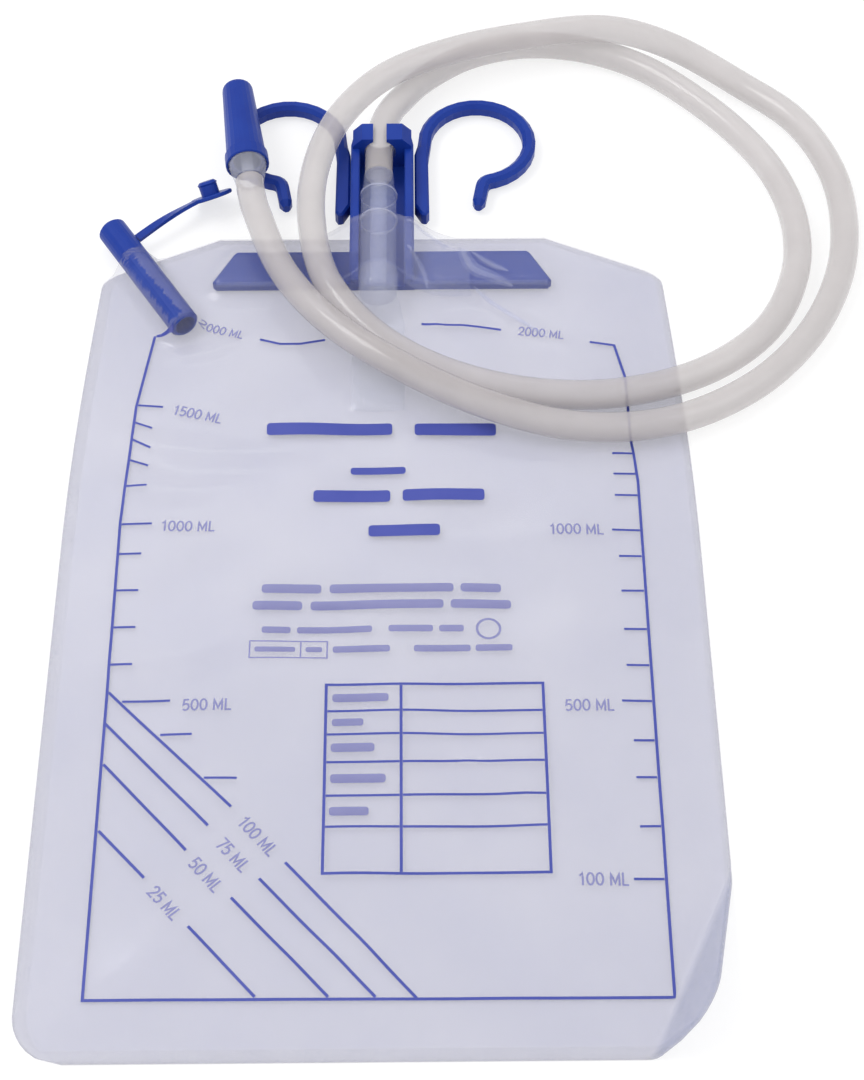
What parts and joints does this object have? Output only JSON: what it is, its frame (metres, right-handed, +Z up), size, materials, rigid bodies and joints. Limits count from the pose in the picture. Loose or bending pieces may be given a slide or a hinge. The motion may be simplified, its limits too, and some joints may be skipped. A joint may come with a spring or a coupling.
{
  "type": "urine_drainage_bag",
  "caption": "Flat welded urine drainage bag with a volume scale, folding hooks, an inlet hose with a capped connector and a capped outlet port",
  "frame": {"origin": "Under the middle of the film pouch, on the surface that the bag lies on (mount bag_back)", "axes": "+Y runs from the bag's foot to its hanger, +X to the right of the printed front, +Z up out of the front"},
  "size_m": [0.2711, 0.405, 0.0221],
  "materials": {
    "film": "clear soft film with blue print",
    "blue": "satin moulded",
    "clear": "clear moulded",
    "valve": "translucent soft film",
    "tube": "clear soft hose"
  },
  "bodies": {
    "root": {"back_film": "film", "front_film": "film", "hanger": "blue", "inlet_connector": "clear", "valve_sleeve": "valve", "drainage_tube": "tube", "catheter_connector": "clear", "outlet_port": "blue"},
    "left_hook": {"left_hook": "blue"},
    "right_hook": {"right_hook": "blue"},
    "connector_cap": {"connector_cap": "blue"},
    "outlet_cap": {"outlet_cap": "blue"}
  },
  "joints": [
    {"name": "left_hook_fold", "type": "hinge", "parent": "root", "child": "left_hook", "pos_m": [-0.01135, 0.1757, 0.001], "axis": [0, -1, 0], "range_deg": [0, 90], "stiffness_Nm_per_rad": 0.1},
    {"name": "right_hook_fold", "type": "hinge", "parent": "root", "child": "right_hook", "pos_m": [0.01135, 0.1757, 0.001], "axis": [0, 1, 0], "range_deg": [0, 90], "stiffness_Nm_per_rad": 0.1},
    {"name": "connector_cap_pull", "type": "slide", "parent": "root", "child": "connector_cap", "axis": [-0.134, 0.991, 0], "range_m": [0, 0.045]},
    {"name": "outlet_cap_lift", "type": "hinge", "parent": "root", "child": "outlet_cap", "pos_m": [-0.08596, 0.14911, 0.00645], "axis": [0.5373, -0.8434, 0], "range_deg": [0, 90], "stiffness_Nm_per_rad": 0.0006}
  ]
}
